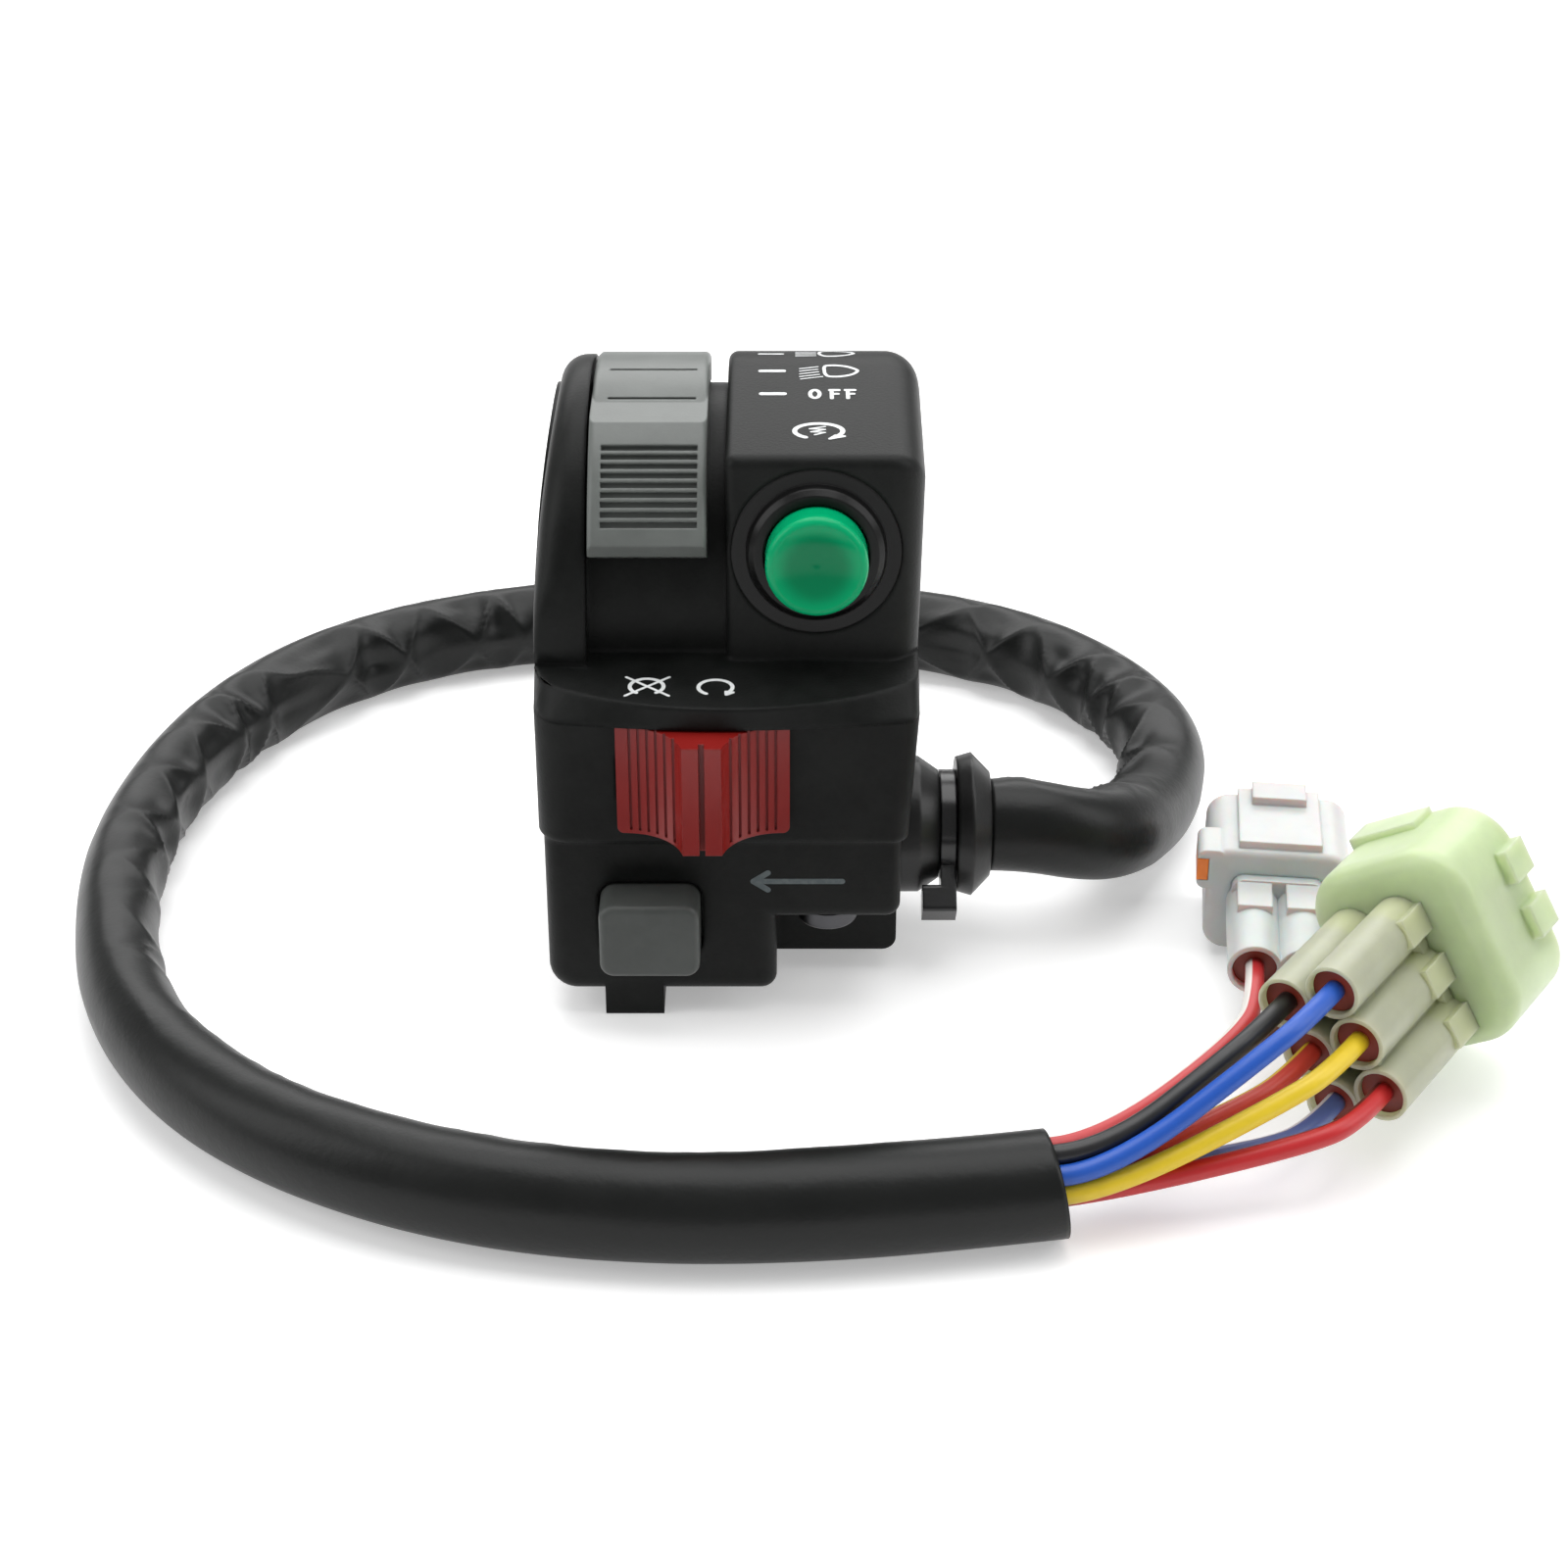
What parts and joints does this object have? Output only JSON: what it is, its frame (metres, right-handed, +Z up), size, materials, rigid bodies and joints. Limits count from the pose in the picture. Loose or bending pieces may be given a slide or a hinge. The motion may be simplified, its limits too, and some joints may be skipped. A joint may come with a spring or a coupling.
{
  "type": "handlebar switch cluster",
  "caption": "Handlebar switch cluster: two-part clamp casing with light slide, start button, stop slide and override button, and a sleeved lead to sealed connectors.",
  "frame": {"origin": "middle of the handlebar bore's axis inside the casing", "axes": "+X along the bar to the rider's right, +Y away from the rider, +Z up; the casing halves meet at Z = 0"},
  "size_m": [0.189, 0.1693, 0.075],
  "materials": {
    "casing_black": "fine-grained moulded black",
    "screw_steel": "dark plated steel",
    "bright_steel": "bare bright steel",
    "light_grey": "satin dark grey",
    "inner_plastic": "plain moulded",
    "contact_brass": "bare",
    "bezel_black": "satin black",
    "start_green": "gloss green",
    "kill_red": "gloss red",
    "override_grey": "satin dark grey",
    "grommet_rubber": "soft satin black",
    "tie_nylon": "satin black",
    "sleeve_black": "soft satin black, a little wrinkled",
    "connector_pale": "pale milky green",
    "connector_white": "milky white",
    "seal_red": "dark red rubber",
    "retainer_orange": "orange",
    "wire_red_white": "satin insulation",
    "wire_brown": "satin insulation",
    "wire_black": "satin insulation",
    "wire_blue": "satin insulation",
    "wire_red_yellow": "satin insulation",
    "wire_yellow": "satin insulation",
    "wire_blue_white": "satin insulation",
    "wire_red": "satin insulation"
  },
  "bodies": {
    "casing": {"upper_casing": "casing_black", "lower_casing": "casing_black", "casing_screws": "screw_steel", "light_contact_base": "inner_plastic", "light_contacts": "contact_brass", "start_bezel": "bezel_black", "start_contact_base": "inner_plastic", "start_contacts": "contact_brass", "start_return_spring": "bright_steel", "kill_contact_base": "inner_plastic", "kill_contacts": "contact_brass", "kill_base_screws": "bright_steel", "override_contact_base": "inner_plastic", "override_contacts": "contact_brass", "override_return_spring": "bright_steel", "cable_grommet": "grommet_rubber", "cable_tie": "tie_nylon", "harness_sleeve": "sleeve_black", "six_way_housing": "connector_pale", "six_way_collar": "connector_pale", "six_way_seals": "seal_red", "six_way_terminals": "contact_brass", "six_way_ring_seal": "seal_red", "two_way_housing": "connector_white", "two_way_head": "connector_white", "two_way_seals": "seal_red", "two_way_terminals": "contact_brass", "two_way_ring_seal": "seal_red", "two_way_retainer": "retainer_orange", "wire_red_white": "wire_red_white", "wire_brown": "wire_brown", "wire_black": "wire_black", "wire_blue": "wire_blue", "wire_red_yellow": "wire_red_yellow", "wire_yellow": "wire_yellow", "wire_blue_white": "wire_blue_white", "wire_red": "wire_red"},
    "light_slide": {"light_knob": "light_grey", "light_carrier": "inner_plastic", "light_bridge": "contact_brass", "light_detent_ball": "bright_steel", "light_detent_spring": "bright_steel"},
    "start_push": {"start_button": "start_green", "start_bridge": "contact_brass"},
    "kill_slide": {"kill_knob": "kill_red", "kill_carrier": "inner_plastic", "kill_bridge": "contact_brass", "kill_detent_ball": "bright_steel", "kill_detent_spring": "bright_steel"},
    "override_push": {"override_button": "override_grey", "override_bridge": "contact_brass"}
  },
  "joints": [
    {"name": "light_turn", "type": "hinge", "parent": "casing", "child": "light_slide", "pos_m": [-0.00945, 0.002, 0.006], "axis": [-1, 0, 0], "range_deg": [0, 20]},
    {"name": "start_press", "type": "slide", "parent": "casing", "child": "start_push", "axis": [0, 0.9959, -0.0906], "range_m": [0, 0.003], "stiffness_N_per_m": 600, "springref_m": -0.001, "deforming": ["start_return_spring"]},
    {"name": "kill_travel", "type": "slide", "parent": "casing", "child": "kill_slide", "axis": [1, 0, 0], "range_m": [-0.007, 0]},
    {"name": "override_press", "type": "slide", "parent": "casing", "child": "override_push", "axis": [0, 1, 0], "range_m": [0, 0.003], "stiffness_N_per_m": 500, "springref_m": -0.001, "deforming": ["override_return_spring"]}
  ]
}
